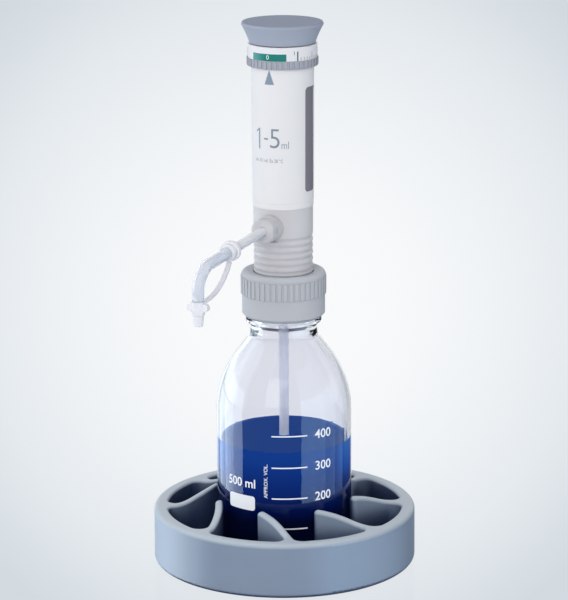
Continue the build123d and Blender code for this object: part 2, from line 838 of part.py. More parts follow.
def make_tether():
    """Soft strap that bows down from the ring to the cap."""
    ring_plane = spout_slope_plane(ring_reach)
    tip_z = spout_z - spout_drop - spout_tip_drop
    start = (-ring_reach, ring_plane.origin.Z - ring_radius - push_gap)
    bow = (-strap_bow_reach, ring_plane.origin.Z - strap_bow_drop)
    end = (-spout_reach + cap_radius + push_gap, tip_z + strap_end_rise)
    band = trace(ThreePointArc(start, bow, end), strap_thickness)
    return extrude(Plane.YZ * band, strap_width / 2, both=True)


# ---------------------------------------------------------------- write every piece
upper_tube, lower_tube = make_filling_tubes()
window_right, window_left = make_windows()
outer_spout, spout_liner = make_spout_tubes()

pieces = {
    "stand": make_stand(),
    "bottle": make_bottle(),
    "liquid": make_liquid(),
    "bottle_seal": make_bottle_seal(),
    "screw_collar": make_collar(),
    "collar_retainer": make_retainer(),
    "valve_block": make_valve_block(),
    "suction_valve_body": make_suction_valve_body(),
    "suction_valve_cage": make_suction_cage(),
    "suction_ball": make_suction_ball(),
    "filling_tube_upper": upper_tube,
    "filling_tube_lower": lower_tube,
    "glass_barrel": make_barrel(),
    "barrel_seal": make_barrel_seal(),
    "barrel_head": make_barrel_head(),
    "barrel_guide": make_barrel_guide(),
    "piston": make_piston(),
    "outer_sleeve": make_sleeve(),
    "window_right": window_right,
    "window_left": window_left,
    "grip_ring": make_grip_ring(),
    "scale_ring": make_scale_ring(),
    "stop_cam": make_stop_cam(),
    "cam_clip": make_cam_clip(),
    "operating_knob": make_knob(),
    "knob_stem": make_stem(),
    "piston_clamp": make_piston_clamp(),
    "discharge_valve_seat": make_discharge_seat(),
    "discharge_valve_cage": make_discharge_cage(),
    "discharge_ball": make_discharge_ball(),
    "spout_nut": make_spout_nut(),
    "discharge_tube": outer_spout,
    "discharge_liner": spout_liner,
    "spout_sheath": make_sheath(),
    "tether_ring": make_tether_ring(),
    "tip_cap": make_tip_cap(),
    "cap_tether": make_tether(),
}

for name, piece in pieces.items():
    save(name, piece)
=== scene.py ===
import math

import bpy
from mathutils import Euler, Matrix, Vector


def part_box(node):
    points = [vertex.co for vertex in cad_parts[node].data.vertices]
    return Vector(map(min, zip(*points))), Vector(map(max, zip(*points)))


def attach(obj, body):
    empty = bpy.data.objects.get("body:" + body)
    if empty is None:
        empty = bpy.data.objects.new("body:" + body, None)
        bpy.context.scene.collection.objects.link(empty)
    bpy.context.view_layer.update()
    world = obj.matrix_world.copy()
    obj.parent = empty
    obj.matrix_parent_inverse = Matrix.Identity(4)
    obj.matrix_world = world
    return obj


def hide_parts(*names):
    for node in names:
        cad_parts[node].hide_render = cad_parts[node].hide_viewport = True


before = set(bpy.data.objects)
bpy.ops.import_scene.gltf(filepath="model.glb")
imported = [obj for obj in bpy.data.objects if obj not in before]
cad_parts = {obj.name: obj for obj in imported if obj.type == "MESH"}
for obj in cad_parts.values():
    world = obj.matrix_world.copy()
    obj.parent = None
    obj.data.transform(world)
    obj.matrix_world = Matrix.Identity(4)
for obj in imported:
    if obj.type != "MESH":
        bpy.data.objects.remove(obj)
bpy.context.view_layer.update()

bpy.ops.object.select_all(action="DESELECT")

# ------------------------------------------------------------------ camera
# A long lens stands a little above the bench and to the right of the spout,
# far enough away for the round pieces to look nearly upright.
camera_turn = math.radians(25)
camera_pitch = math.radians(14.35)
camera_roll = math.radians(-0.25)
camera_distance = 1.73
camera_height = 0.612
camera_stance = Euler((math.pi / 2 - camera_pitch, 0, camera_turn)).to_matrix()
camera_aim = camera_stance @ Matrix.Rotation(camera_roll, 3, "Z")
bpy.ops.object.camera_add(
    location=(
        camera_distance * math.sin(camera_turn),
        -camera_distance * math.cos(camera_turn),
        camera_height,
    ),
    rotation=camera_aim.to_euler(),
)
camera = bpy.context.object
camera.name = "camera"
camera.data.lens = 169.66
camera.data.sensor_width = 36
camera.data.shift_x = 0.0007
camera.data.clip_end = 100
bpy.context.scene.camera = camera
bpy.context.scene.view_settings.view_transform = "Standard"


# ------------------------------------------------------------------ studio
# A pale bench with a painted pool of light, lightest behind the bottle, which camera rays see mostly as a
# painted glow.  Graded strips of lamps on each side reach below its top and are only mirrored, so the glass
# shows two long bands.
# Three other lamps only light, and aren't mirrored.
def srgb(red, green, blue):
    """Linear colour of an 8-bit screen colour."""
    def linear(value):
        value = value / 255
        return value / 12.92 if value <= 0.04045 else ((value + 0.055) / 1.055) ** 2.4
    return (linear(red), linear(green), linear(blue), 1)


def new_material(name):
    """Empty node material with its output, and the two lists to add to."""
    material = bpy.data.materials.new(name)
    material.use_nodes = True
    nodes = material.node_tree.nodes
    nodes.clear()
    return material, nodes, material.node_tree.links, nodes.new("ShaderNodeOutputMaterial")


def tone_ramp(nodes, tones, soft=True):
    """Colour ramp through (position, screen colour) pairs."""
    ramp = nodes.new("ShaderNodeValToRGB")
    ramp.color_ramp.interpolation = "B_SPLINE" if soft else "LINEAR"
    ramp.color_ramp.elements.remove(ramp.color_ramp.elements[1])
    for index, (spot, tone) in enumerate(tones):
        element = ramp.color_ramp.elements[0] if index == 0 else ramp.color_ramp.elements.new(spot)
        element.position = spot
        element.color = srgb(*tone)
    return ramp


def either(nodes, links, first, second):
    """The larger of two yes-or-no outputs."""
    joined = nodes.new("ShaderNodeMath")
    joined.operation = "MAXIMUM"
    links.new(first, joined.inputs[0])
    links.new(second, joined.inputs[1])
    return joined.outputs[0]


def bench_material():
    """Pale bench with a painted pool of light, lightest behind the bottle, a painted glow for camera rays, a
    soft shadow and a faint mirror image.
    """
    material, nodes, links, output = new_material("bench_painted_pool_of_light")

    def maths(operation, first, second):
        """One sum of two values, each of them an output or a number."""
        node = nodes.new("ShaderNodeMath")
        node.operation = operation
        for socket, value in zip(node.inputs, (first, second)):
            if isinstance(value, (int, float)):
                socket.default_value = value
            else:
                links.new(value, socket)
        return node.outputs[0]

    def along(direction):
        """Distance from the camera's foot along a level direction."""
        node = nodes.new("ShaderNodeVectorMath")
        node.operation = "DOT_PRODUCT"
        node.inputs[1].default_value = direction
        links.new(place.outputs["Object"], node.inputs[0])
        return node.outputs["Value"]

    place = nodes.new("ShaderNodeTexCoord")
    ahead = maths("ADD", along((-math.sin(camera_turn), math.cos(camera_turn), 0)), camera_distance)
    aside = maths("DIVIDE", along((math.cos(camera_turn), math.sin(camera_turn), 0)), ahead)
    nearness = maths("SUBTRACT", maths("DIVIDE", 1, ahead), pool_nearness)
    across = maths("POWER", maths("DIVIDE", aside, pool_half_width), 2)
    down = maths("POWER", maths("DIVIDE", nearness, pool_half_depth), 2)
    ramp = tone_ramp(nodes, painted_pool_tones, soft=False)
    links.new(maths("SQRT", maths("ADD", across, down), 0), ramp.inputs[0])
    matt = nodes.new("ShaderNodeBsdfDiffuse")
    links.new(ramp.outputs[0], matt.inputs[0])
    painted_glow = nodes.new("ShaderNodeEmission")
    links.new(ramp.outputs[0], painted_glow.inputs[0])
    rays = nodes.new("ShaderNodeLightPath")
    seen = either(nodes, links, rays.outputs["Is Camera Ray"], rays.outputs["Is Transmission Ray"])
    share = nodes.new("ShaderNodeMath")
    share.operation = "MULTIPLY"
    share.inputs[1].default_value = bench_glow
    links.new(seen, share.inputs[0])
    blend = nodes.new("ShaderNodeMixShader")
    links.new(share.outputs[0], blend.inputs[0])
    links.new(matt.outputs[0], blend.inputs[1])
    links.new(painted_glow.outputs[0], blend.inputs[2])
    mirror = nodes.new("ShaderNodeBsdfGlossy")
    mirror.inputs["Roughness"].default_value = 0.04
    polish = nodes.new("ShaderNodeMixShader")
    polish.inputs[0].default_value = bench_polish
    links.new(blend.outputs[0], polish.inputs[1])
    links.new(mirror.outputs[0], polish.inputs[2])
    links.new(polish.outputs[0], output.inputs["Surface"])
    return material


# Painted pool of light on the bench: lightest behind the bottle, greyer towards its edge.
pool_nearness = 0.421
pool_half_width = 0.1464
pool_half_depth = 0.241
painted_pool_tones = (
    (0.0, (252, 252, 253)), (0.25, (250, 251, 252)), (0.5, (242, 245, 248)),
    (0.75, (230, 235, 239)), (1.0, (211, 219, 225)),
)
# Share of the bench that camera rays see as a painted glow.
bench_glow = 0.96
bench_polish = 0.03
bpy.ops.mesh.primitive_circle_add(vertices=96, radius=14, fill_type="NGON", location=(0, 0, 0))
bench = bpy.context.object
bench.name = "bench"
bench.data.materials.append(bench_material())
bench.visible_glossy = False

world = bpy.data.worlds.new("studio_air")
world.use_nodes = True
bpy.context.scene.world = world
air_nodes, air_links = world.node_tree.nodes, world.node_tree.links
air_nodes.clear()
air_out = air_nodes.new("ShaderNodeOutputWorld")
air_rays = air_nodes.new("ShaderNodeLightPath")


def air(colour, strength):
    """One even tone of the surrounding air."""
    tone = air_nodes.new("ShaderNodeBackground")
    tone.inputs[0].default_value = colour
    tone.inputs[1].default_value = strength
    return tone.outputs[0]


def choose(factor, usual, special):
    """The special tone where the ray is of the kind asked for."""
    pick = air_nodes.new("ShaderNodeMixShader")
    air_links.new(factor, pick.inputs[0])
    air_links.new(usual, pick.inputs[1])
    air_links.new(special, pick.inputs[2])
    return pick.outputs[0]


air_place = air_nodes.new("ShaderNodeTexCoord")
air_side = air_nodes.new("ShaderNodeVectorMath")
air_side.operation = "DOT_PRODUCT"
air_side.inputs[1].default_value = (-math.sin(camera_turn), math.cos(camera_turn), 0)
air_links.new(air_place.outputs["Generated"], air_side.inputs[0])
air_behind = air_nodes.new("ShaderNodeMapRange")
air_behind.inputs["From Min"].default_value = 0.86
air_behind.inputs["From Max"].default_value = 0.93
air_links.new(air_side.outputs["Value"], air_behind.inputs["Value"])
air_fill = air((0.95, 0.97, 1.0, 1), 0.64)
air_mirrored = choose(
    air_behind.outputs[0], air((0.85, 0.92, 1.0, 1), 0.10), air((0.97, 0.98, 1.0, 1), 0.97)
)
air_seen = air(srgb(249, 250, 252), 1.0)
through = either(
    air_nodes, air_links, air_rays.outputs["Is Camera Ray"], air_rays.outputs["Is Transmission Ray"]
)
air_tone = choose(air_rays.outputs["Is Glossy Ray"], air_fill, air_mirrored)
air_links.new(choose(through, air_tone, air_seen), air_out.inputs[0])


def soft_box(name, turn, distance, low, high, width, radiance, tint, mirrored):
    """Upright lamp facing the object, only mirrored or only lighting; turn is rightward from the camera."""
    angle = camera_turn + math.radians(turn)
    spot = Vector((distance * math.sin(angle), -distance * math.cos(angle), (low + high) / 2))
    aim = Vector((-spot.x, -spot.y, 0))
    bpy.ops.object.light_add(type="AREA", location=spot, rotation=aim.to_track_quat("-Z", "Y").to_euler())
    lamp = bpy.context.object
    lamp.name = name
    lamp.data.shape = "RECTANGLE"
    lamp.data.size, lamp.data.size_y = width, high - low
    lamp.data.energy = radiance * math.pi * width * (high - low)
    lamp.data.color = tint
    lamp.visible_diffuse = not mirrored
    lamp.visible_glossy = mirrored


band_levels = ((-0.95, 0.0, 1.0), (0.0, 0.45, 0.55), (0.45, 1.7, 0.22))
bands = (
    ("band_left", (0.72, 0.87, 1.0), ((-86, 5.0), (-108, 6.4), (-130, 3.6), (-152, 1.2))),
    ("band_right", (0.48, 0.74, 1.0), ((40, 4.2), (62, 3.8), (84, 2.4), (106, 1.1))),
)
for low, high, share in band_levels:
    for name, tint, strips in bands:
        for turn, radiance in strips:
            soft_box(name, turn, 1.5, low, high, 0.60, radiance * share, tint, mirrored=True)
soft_box("light_right", 85, 1.5, 0.0, 0.6, 1.6, 0.55, (0.97, 0.99, 1.0), mirrored=False)
soft_box("light_left", -100, 1.5, 0.0, 1.7, 1.6, 0.66, (0.97, 0.99, 1.0), mirrored=False)
soft_box("light_front", -14, 1.9, 0.3, 1.7, 1.4, 3.1, (1.0, 0.985, 0.96), mirrored=False)


# ------------------------------------------------------------------ ring stand
# One heavy moulding in blue-grey plastic.  Eight swirled fins run in from the
# rim and centre the bottle.
def moulded(name, colour, roughness, grain_size, grain_depth, shade=0.05, edge=0.0003, shine=0.5):
    """Moulded plastic: slow tone changes, fine grain, slightly uneven gloss and softened edges."""
    material, nodes, links, output = new_material(name)
    shader = nodes.new("ShaderNodeBsdfPrincipled")
    place = nodes.new("ShaderNodeTexCoord")
    cloud = nodes.new("ShaderNodeTexNoise")
    cloud.inputs["Scale"].default_value = 14
    cloud.inputs["Detail"].default_value = 3
    links.new(place.outputs["Object"], cloud.inputs["Vector"])
    tone = nodes.new("ShaderNodeValToRGB")
    tone.color_ramp.elements[0].position = 0.3
    tone.color_ramp.elements[1].position = 0.7
    tone.color_ramp.elements[0].color = [value * (1 - shade) for value in colour[:3]] + [1]
    tone.color_ramp.elements[1].color = [min(1, value * (1 + shade)) for value in colour[:3]] + [1]
    links.new(cloud.outputs["Fac"], tone.inputs[0])
    links.new(tone.outputs[0], shader.inputs["Base Color"])
    gloss = nodes.new("ShaderNodeMapRange")
    gloss.inputs["To Min"].default_value = roughness * 0.85
    gloss.inputs["To Max"].default_value = roughness * 1.15
    links.new(cloud.outputs["Fac"], gloss.inputs["Value"])
    links.new(gloss.outputs[0], shader.inputs["Roughness"])
    shader.inputs["Specular IOR Level"].default_value = shine
    shader.inputs["Specular Tint"].default_value = (1.0, 0.84, 0.72, 1)
    grain = nodes.new("ShaderNodeTexNoise")
    grain.inputs["Scale"].default_value = 1 / grain_size
    grain.inputs["Detail"].default_value = 2
    links.new(place.outputs["Object"], grain.inputs["Vector"])
    softened = nodes.new("ShaderNodeBevel")
    softened.samples = 6
    softened.inputs["Radius"].default_value = edge
    bump = nodes.new("ShaderNodeBump")
    bump.inputs["Strength"].default_value = 0.4
    bump.inputs["Distance"].default_value = grain_depth
    links.new(grain.outputs["Fac"], bump.inputs["Height"])
    links.new(softened.outputs[0], bump.inputs["Normal"])
    links.new(bump.outputs[0], shader.inputs["Normal"])
    links.new(shader.outputs[0], output.inputs["Surface"])
    return material


def hollow(material, reach, deep, upper, clear=0.5):
    """Paints light and shade: a painted shade tone where the surface is shut in, and a painted top tone,
    lighter or darker as given, where it faces up.
    """
    nodes, links = material.node_tree.nodes, material.node_tree.links
    shader = next(node for node in nodes if node.type == "BSDF_PRINCIPLED")
    plain = shader.inputs["Base Color"].links[0].from_socket
    place = nodes.new("ShaderNodeTexCoord")
    lift = nodes.new("ShaderNodeSeparateXYZ")
    links.new(place.outputs["Normal"], lift.inputs[0])
    raised = nodes.new("ShaderNodeMixRGB")
    raised.use_clamp = True
    links.new(lift.outputs["Z"], raised.inputs[0])
    links.new(plain, raised.inputs[1])
    raised.inputs[2].default_value = upper
    shut = nodes.new("ShaderNodeAmbientOcclusion")
    shut.inputs["Distance"].default_value = reach
    shut.samples = 8
    open_tones = ((0.0, (0, 0, 0)), (clear / 2, (70, 70, 70)), (clear, (255, 255, 255)))
    open_share = tone_ramp(nodes, open_tones, soft=False)
    links.new(shut.outputs["AO"], open_share.inputs[0])
    shade = nodes.new("ShaderNodeMixRGB")
    links.new(open_share.outputs[0], shade.inputs[0])
    shade.inputs[1].default_value = deep
    links.new(raised.outputs[0], shade.inputs[2])
    links.new(shade.outputs[0], shader.inputs["Base Color"])


def dress(node, material):
    """Gives a CAD node its finish."""
    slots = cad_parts[node].data.materials
    slots.clear()
    slots.append(material)


stand_finish = moulded(
    "stand_blue_grey", srgb(130, 146, 168), 0.42, 0.0006, 0.00002, edge=0.0006, shine=0.62
)
# Painted shade turns the pockets between the fins dark navy, and painted light makes the faces turned up
# paler.
hollow(stand_finish, 0.05, srgb(34, 52, 88), srgb(198, 209, 218))
dress("stand", stand_finish)


# ------------------------------------------------------------------ bottle and reagent
# Clear borosilicate bottle, and the deep blue reagent that fills it to between
# its top two marks.  The reagent reaches just into the wall, so no air shows.
def clear_material(name, colour, roughness, index):
    """Clear glass with a very faint waviness."""
    material, nodes, links, output = new_material(name)
    shader = nodes.new("ShaderNodeBsdfPrincipled")
    shader.inputs["Base Color"].default_value = colour
    shader.inputs["Transmission Weight"].default_value = 1
    shader.inputs["Roughness"].default_value = roughness
    shader.inputs["IOR"].default_value = index
    place = nodes.new("ShaderNodeTexCoord")
    wave = nodes.new("ShaderNodeTexNoise")
    wave.inputs["Scale"].default_value = 22
    links.new(place.outputs["Object"], wave.inputs["Vector"])
    bump = nodes.new("ShaderNodeBump")
    bump.inputs["Strength"].default_value = 0.06
    bump.inputs["Distance"].default_value = 0.0006
    links.new(wave.outputs["Fac"], bump.inputs["Height"])
    links.new(bump.outputs[0], shader.inputs["Normal"])
    links.new(shader.outputs[0], output.inputs["Surface"])
    return material


def own(piece, name, material, body):
    """Names a new piece, gives it its finish and lets it ride on its body."""
    piece.name = piece.data.name = name
    piece.data.materials.clear()
    piece.data.materials.append(material)
    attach(piece, body)
    return piece


def lathed(points, steps):
    """Closed solid of revolution about Z, extruded point by point and then spun."""
    bpy.ops.mesh.primitive_plane_add(size=0.001, location=(0, 0, 0))
    piece = bpy.context.object
    bpy.ops.object.mode_set(mode="EDIT")
    bpy.ops.mesh.select_all(action="SELECT")
    bpy.ops.mesh.merge(type="CENTER")
    bpy.ops.transform.translate(value=(points[0][0], 0, points[0][1]))
    for start, end in zip(points, points[1:]):
        step = (end[0] - start[0], 0, end[1] - start[1])
        bpy.ops.mesh.extrude_region_move(TRANSFORM_OT_translate={"value": step})
    bpy.ops.mesh.select_all(action="SELECT")
    bpy.ops.mesh.spin(steps=steps, angle=2 * math.pi, center=(0, 0, 0), axis=(0, 0, 1))
    bpy.ops.mesh.select_all(action="SELECT")
    bpy.ops.mesh.remove_doubles(threshold=0.000002)
    bpy.ops.mesh.normals_make_consistent(inside=False)
    bpy.ops.object.mode_set(mode="OBJECT")
    bpy.ops.object.shade_smooth_by_angle(angle=math.radians(35))
    return piece


def bend(centre, radius, start, end, steps):
    """Points along an arc of a half section, with its angles in degrees."""
    turns = [math.radians(start + (end - start) * index / steps) for index in range(steps + 1)]
    return [(centre[0] + radius * math.cos(turn), centre[1] + radius * math.sin(turn)) for turn in turns]


# Painted shade by height: the reagent is nearly black at its foot, where the stand shades it, and royal blue
# above; the edge tones are painted highlights.
reagent_painted_shade_tones = (
    (0.36, (1, 2, 14)), (0.45, (1, 9, 52)), (0.53, (2, 20, 72)), (0.60, (4, 30, 98)),
    (0.80, (8, 46, 120)), (0.90, (12, 54, 132)), (1.0, (14, 58, 136)),
)
reagent_painted_edge_light_tones = (
    (0.36, (1, 2, 14)), (0.52, (2, 6, 40)), (0.66, (10, 40, 105)), (0.80, (24, 78, 165)),
    (1.0, (50, 104, 182)),
)


def reagent_material(foot, top):
    """Deep blue liquid drawn as a painted glow: painted shade makes it nearly black at the foot and royal
    blue above, with painted highlights at its rounded edges.
    """
    material, nodes, links, output = new_material("reagent_painted_light")
    place = nodes.new("ShaderNodeTexCoord")
    split = nodes.new("ShaderNodeSeparateXYZ")
    links.new(place.outputs["Object"], split.inputs[0])
    rise = nodes.new("ShaderNodeMapRange")
    rise.inputs["From Min"].default_value = foot
    rise.inputs["From Max"].default_value = top
    links.new(split.outputs["Z"], rise.inputs["Value"])
    depth = tone_ramp(nodes, reagent_painted_shade_tones, soft=False)
    links.new(rise.outputs[0], depth.inputs[0])
    # Painted highlight: the edges, seen side-on, take the lighter edge tones.
    facing = nodes.new("ShaderNodeLayerWeight")
    facing.inputs["Blend"].default_value = 0.5
    edge_share = ((0.0, (0, 0, 0)), (0.19, (0, 0, 0)), (0.30, (255, 255, 255)), (1.0, (255, 255, 255)))
    edge = tone_ramp(nodes, edge_share, soft=False)
    links.new(facing.outputs["Facing"], edge.inputs[0])
    rim = tone_ramp(nodes, reagent_painted_edge_light_tones, soft=False)
    links.new(rise.outputs[0], rim.inputs[0])
    side = nodes.new("ShaderNodeMixRGB")
    links.new(edge.outputs[0], side.inputs[0])
    links.new(depth.outputs[0], side.inputs[1])
    links.new(rim.outputs[0], side.inputs[2])
    up = nodes.new("ShaderNodeSeparateXYZ")
    links.new(place.outputs["Normal"], up.inputs[0])
    # The top surface, facing up, gets its own painted tone.
    surface = nodes.new("ShaderNodeMath")
    surface.operation = "GREATER_THAN"
    surface.inputs[1].default_value = 0.8
    links.new(up.outputs["Z"], surface.inputs[0])
    tone = nodes.new("ShaderNodeMixRGB")
    tone.inputs[2].default_value = srgb(6, 54, 124)
    links.new(surface.outputs[0], tone.inputs[0])
    links.new(side.outputs[0], tone.inputs[1])
    # All of the reagent's tone is a painted glow; its base colour and specular add almost nothing.
    shader = nodes.new("ShaderNodeBsdfPrincipled")
    shader.inputs["Roughness"].default_value = 0.04
    shader.inputs["Specular IOR Level"].default_value = 0.0
    shader.inputs["Base Color"].default_value = srgb(2, 10, 40)
    links.new(tone.outputs[0], shader.inputs["Emission Color"])
    shader.inputs["Emission Strength"].default_value = 1.0
    links.new(shader.outputs[0], output.inputs["Surface"])
    return material


dress("bottle", clear_material("bottle_glass", (0.895, 0.900, 0.940, 1), 0.0, 1.38))
liquid_foot, liquid_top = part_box("liquid")[0][2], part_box("liquid")[1][2]
liquid_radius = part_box("liquid")[1][0] + 0.00015
tube_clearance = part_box("filling_tube_upper")[1][0] + 0.00035
liquid_heel = 0.0065
meniscus = 0.0012
reagent = lathed(
    [(tube_clearance, liquid_foot)]
    + bend((liquid_radius - liquid_heel, liquid_foot + liquid_heel), liquid_heel, -90, 0, 8)
    + bend((liquid_radius - meniscus, liquid_top + meniscus), meniscus, 0, -90, 5)
    + bend((tube_clearance + meniscus, liquid_top + meniscus), meniscus, -90, -180, 5)
    + [(tube_clearance, liquid_foot)],
    128,
)
own(reagent, "reagent_body", reagent_material(liquid_foot, liquid_top), "bottle")
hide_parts("liquid")


# ------------------------------------------------------------------ bottle marks
# White enamel on the front of the glass: the volume scale, the contents and a
# field to write on.
def enamel(name, colour, roughness, painted_glow=0.0):
    """Printed ink: a very slightly uneven film, with a painted glow if one is given."""
    material, nodes, links, output = new_material(name)
    shader = nodes.new("ShaderNodeBsdfPrincipled")
    place = nodes.new("ShaderNodeTexCoord")
    speck = nodes.new("ShaderNodeTexNoise")
    speck.inputs["Scale"].default_value = 900
    links.new(place.outputs["Object"], speck.inputs["Vector"])
    tone = nodes.new("ShaderNodeMixRGB")
    tone.inputs[1].default_value = colour
    tone.inputs[2].default_value = [value * 0.9 for value in colour[:3]] + [1]
    links.new(speck.outputs["Fac"], tone.inputs[0])
    links.new(tone.outputs[0], shader.inputs["Base Color"])
    shader.inputs["Roughness"].default_value = roughness
    links.new(tone.outputs[0], shader.inputs["Emission Color"])
    shader.inputs["Emission Strength"].default_value = painted_glow
    links.new(shader.outputs[0], output.inputs["Surface"])
    return material


def lettering(text, height, weight=0.0):
    """Flat letters about the origin, cut fine enough to be bent round a wall."""
    bpy.ops.object.text_add(location=(0, 0, 0))
    letters = bpy.context.object
    letters.data.body = text
    letters.data.size = height / 0.72
    letters.data.offset = weight
    letters.data.resolution_u = 4
    letters.data.align_x = "CENTER"
    letters.data.align_y = "CENTER"
    bpy.ops.object.convert(target="MESH")
    bpy.ops.object.mode_set(mode="EDIT")
    bpy.ops.mesh.select_all(action="SELECT")
    bpy.ops.mesh.quads_convert_to_tris()
    bpy.ops.mesh.subdivide(number_cuts=2)
    bpy.ops.object.mode_set(mode="OBJECT")
    return letters


def field(width, height, cut_corner=0.0):
    """Flat rectangle about the origin, with cut corners if asked, in narrow upright strips."""
    bpy.ops.mesh.primitive_plane_add(size=1, location=(0, 0, 0))
    patch = bpy.context.object
    bpy.ops.object.mode_set(mode="EDIT")
    bpy.ops.mesh.select_all(action="SELECT")
    bpy.ops.transform.resize(value=(width, height, 1), center_override=(0, 0, 0))
    if cut_corner:
        bpy.ops.mesh.bevel(offset=cut_corner, segments=3, affect="VERTICES")
        bpy.ops.mesh.select_all(action="SELECT")
        bpy.ops.mesh.quads_convert_to_tris()
    bpy.ops.mesh.subdivide(number_cuts=7)
    bpy.ops.object.mode_set(mode="OBJECT")
    return patch


def turned_flat(piece, degrees):
    """Turns a flat piece about the origin in its own plane."""
    piece.data.transform(Matrix.Rotation(math.radians(degrees), 4, "Z"))
    return piece


def narrowed(piece, share):
    """Narrows a flat piece about the origin."""
    piece.data.transform(Matrix.Scale(share, 4, (1, 0, 0)))
    return piece


def wrap(piece, radius, heading, height):
    """Bends a flat piece round an upright wall, at a heading in degrees from the spout."""
    for vertex in piece.data.vertices:
        turn = math.radians(heading) + vertex.co.x / radius
        vertex.co = (radius * math.sin(turn), -radius * math.cos(turn), height + vertex.co.y)
    return piece


def joined(pieces):
    """Several pieces as one."""
    bpy.ops.object.select_all(action="DESELECT")
    for piece in pieces:
        piece.select_set(True)
    bpy.context.view_layer.objects.active = pieces[0]
    bpy.ops.object.join()
    return bpy.context.object


# The white print is given a faint painted glow.
enamel_white = enamel("enamel_white", srgb(238, 241, 247), 0.4, 0.14)
enamel_lift = 0.00006
glass_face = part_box("bottle")[1][0] + enamel_lift
marks = []
for volume, height in ((400, 0.0923), (300, 0.0717), (200, 0.0515), (100, 0.0316)):
    marks.append(wrap(field(0.0228, 0.0008), glass_face, 29.5, height))
    marks.append(wrap(lettering(str(volume), 0.0058, 0.00012), glass_face, 59.5, height))
own(joined(marks), "bottle_volume_marks", enamel_white, "bottle")
own(
    joined([
        wrap(lettering("500 ml", 0.0058, 0.00014), glass_face, -14.5, 0.0597),
        wrap(turned_flat(lettering("APPROX. VOL.", 0.0025, 0.00002), 90), glass_face, 9.4, 0.0628),
    ]),
    "bottle_contents_mark", enamel_white, "bottle",
)
own(wrap(field(0.0205, 0.0095, 0.0018), glass_face, -14.2, 0.0470), "bottle_writing_field", enamel_white,
    "bottle")


# ------------------------------------------------------------------ screw collar
# Grey polypropylene with upright ribs all round.  Painted shade darkens the
# grooves between the ribs, and faces turned up are painted a little lighter.
collar_finish = moulded("collar_grey", srgb(189, 191, 197), 0.45, 0.0005, 0.00001, edge=0.0005, shine=0.12)
hollow(collar_finish, 0.0025, srgb(174, 177, 185), srgb(196, 199, 206), 0.8)
dress("screw_collar", collar_finish)


# ------------------------------------------------------------------ valve block and spout
# Milky clear mouldings: the block with its ridged neck, the spout tube in its
# clear sheath, the ring, the strap and the cap.
def milky(name, colour, roughness, cloudiness, index=1.35, painted_glow=0.0):
    """Milky clear moulding that lets some light through, with faint flow clouds and a painted glow if one is
    given.
    """
    material, nodes, links, output = new_material(name)
    shader = nodes.new("ShaderNodeBsdfPrincipled")
    place = nodes.new("ShaderNodeTexCoord")
    flow = nodes.new("ShaderNodeTexNoise")
    flow.inputs["Scale"].default_value = 60
    flow.inputs["Detail"].default_value = 3
    links.new(place.outputs["Object"], flow.inputs["Vector"])
    haze = nodes.new("ShaderNodeMapRange")
    haze.inputs["To Min"].default_value = min(1, (1 - cloudiness) * 1.25)
    haze.inputs["To Max"].default_value = (1 - cloudiness) * 0.75
    links.new(flow.outputs["Fac"], haze.inputs["Value"])
    links.new(haze.outputs[0], shader.inputs["Transmission Weight"])
    softened = nodes.new("ShaderNodeBevel")
    softened.samples = 4
    softened.inputs["Radius"].default_value = 0.0003
    links.new(softened.outputs[0], shader.inputs["Normal"])
    tint = nodes.new("ShaderNodeRGB")
    tint.outputs[0].default_value = colour
    links.new(tint.outputs[0], shader.inputs["Base Color"])
    shader.inputs["Roughness"].default_value = roughness
    shader.inputs["IOR"].default_value = index
    shader.inputs["Specular IOR Level"].default_value = 0.15
    shader.inputs["Emission Color"].default_value = colour
    shader.inputs["Emission Strength"].default_value = painted_glow
    links.new(shader.outputs[0], output.inputs["Surface"])
    return material


block_milky = milky("block_milky", srgb(228, 225, 228), 0.3, 0.75)
tube_clear = milky("tube_clear", srgb(252, 252, 255), 0.15, 0.6, 1.2)
# The filling tube is given a faint painted glow.
filling_clear = milky("filling_clear", srgb(246, 247, 252), 0.3, 0.3, 1.1, 0.02)
cap_soft = milky("cap_soft", srgb(248, 248, 253), 0.4, 0.85)
# Painted shade darkens the grooves of the ridged neck, and faces turned up are painted a little lighter.
hollow(block_milky, 0.0025, srgb(184, 188, 196), srgb(233, 232, 237), 0.8)
dress("valve_block", block_milky)
dress("spout_nut", milky("nut_milky", srgb(234, 232, 236), 0.3, 0.7))
for node in ("discharge_tube", "discharge_liner"):
    dress(node, tube_clear)
for node in ("filling_tube_upper", "filling_tube_lower"):
    dress(node, filling_clear)
dress("spout_sheath", milky("sheath_clear", srgb(246, 247, 251), 0.05, 0.2, 1.15))
for node in ("tether_ring", "tip_cap", "cap_tether"):
    dress(node, cap_soft)


# ------------------------------------------------------------------ inner works
# The valves, the barrel with its piston, and the guide and cam round them.  The
# sleeve and block hide most of them, and the stem shows when the knob rises.
inner_grey = moulded("inner_grey", srgb(205, 207, 213), 0.5, 0.0005, 0.00001)
for node in ("collar_retainer", "barrel_head", "barrel_guide", "stop_cam", "knob_stem", "piston_clamp"):
    dress(node, inner_grey)
valve_clear = milky("valve_clear", srgb(225, 227, 232), 0.3, 0.5)
for node in ("suction_valve_body", "suction_valve_cage", "discharge_valve_seat", "discharge_valve_cage"):
    dress(node, valve_clear)
ceramic = moulded("ceramic_white", srgb(240, 238, 232), 0.25, 0.0003, 0.000004)
for node in ("piston", "suction_ball", "discharge_ball"):
    dress(node, ceramic)
dress("bottle_seal", moulded("seal_white", srgb(236, 236, 234), 0.5, 0.0004, 0.00001))
dress("barrel_seal", bpy.data.materials["seal_white"])
dress("glass_barrel", clear_material("barrel_glass", (0.96, 0.98, 0.98, 1), 0.02, 1.5))
dress("cam_clip", moulded("clip_steel", srgb(190, 190, 192), 0.3, 0.0003, 0.000005))


